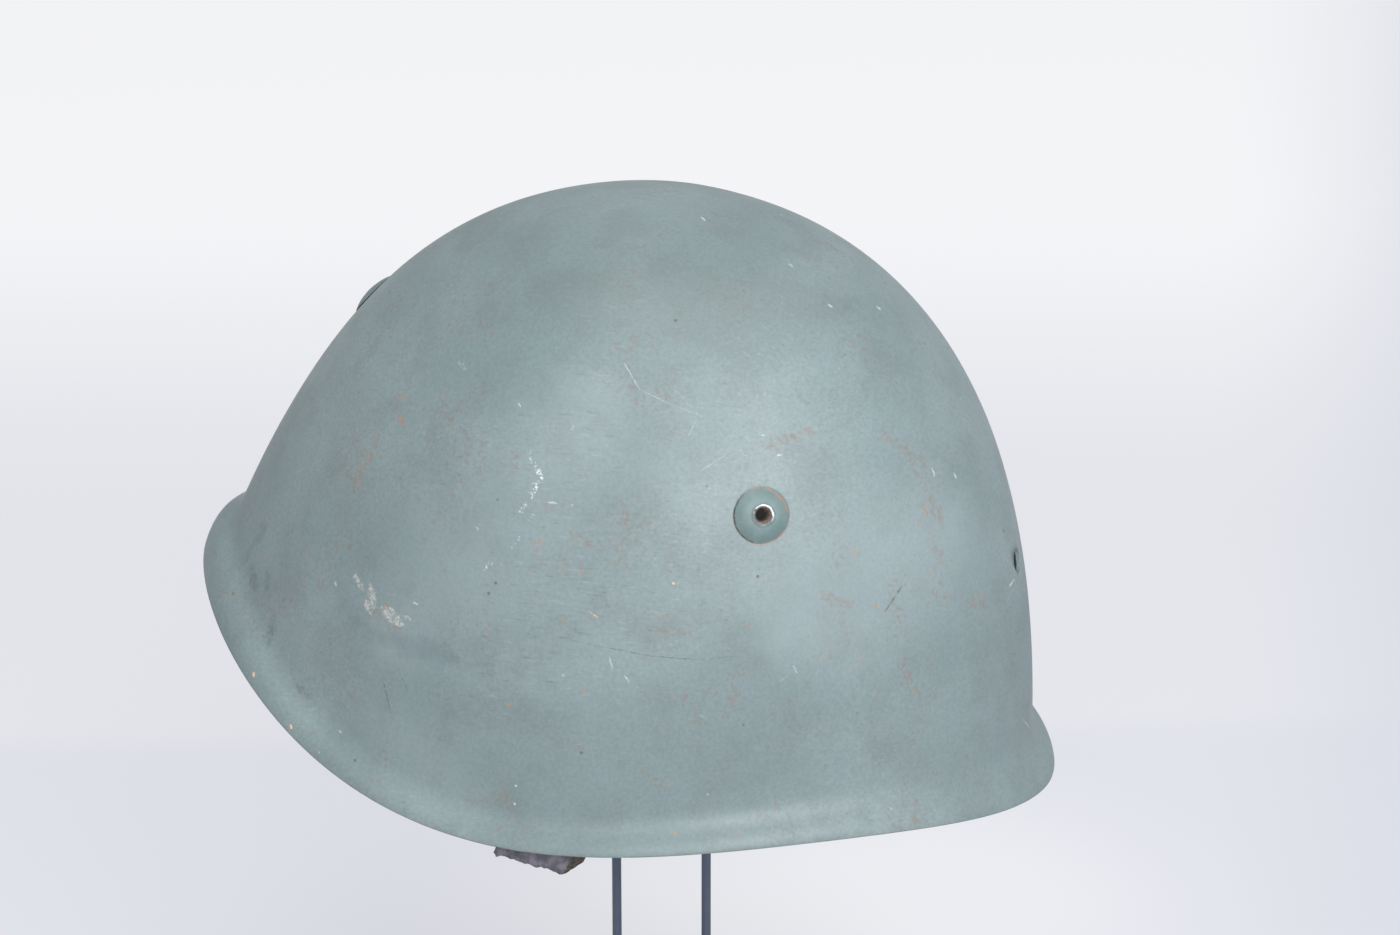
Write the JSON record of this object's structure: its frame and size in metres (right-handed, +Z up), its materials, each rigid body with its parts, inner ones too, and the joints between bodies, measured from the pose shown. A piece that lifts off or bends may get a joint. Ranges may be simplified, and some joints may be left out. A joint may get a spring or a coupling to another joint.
{
  "type": "military steel helmet on a plain wire stand",
  "caption": "Steel helmet with a bent-out rim, three hollow vent rivets and a torn strap stub, resting on a bent-wire stand.",
  "frame": {"origin": "centre of the foot plate's underside, midway between the two legs", "axes": "+Z up; the helmet's front faces -Y and the wearer's left is +X"},
  "size_m": [0.214, 0.2746, 0.2926],
  "materials": {
    "shell_paint": "matt",
    "rivet_paint": "satin",
    "strap_leather": "dry",
    "stand_paint": "satin"
  },
  "bodies": {
    "root": {"shell": "shell_paint", "rivet_front": "rivet_paint", "rivet_left": "rivet_paint", "rivet_right": "rivet_paint", "chin_strap_stub": "strap_leather", "stand_wire": "stand_paint", "stand_foot": "stand_paint"}
  },
  "joints": []
}
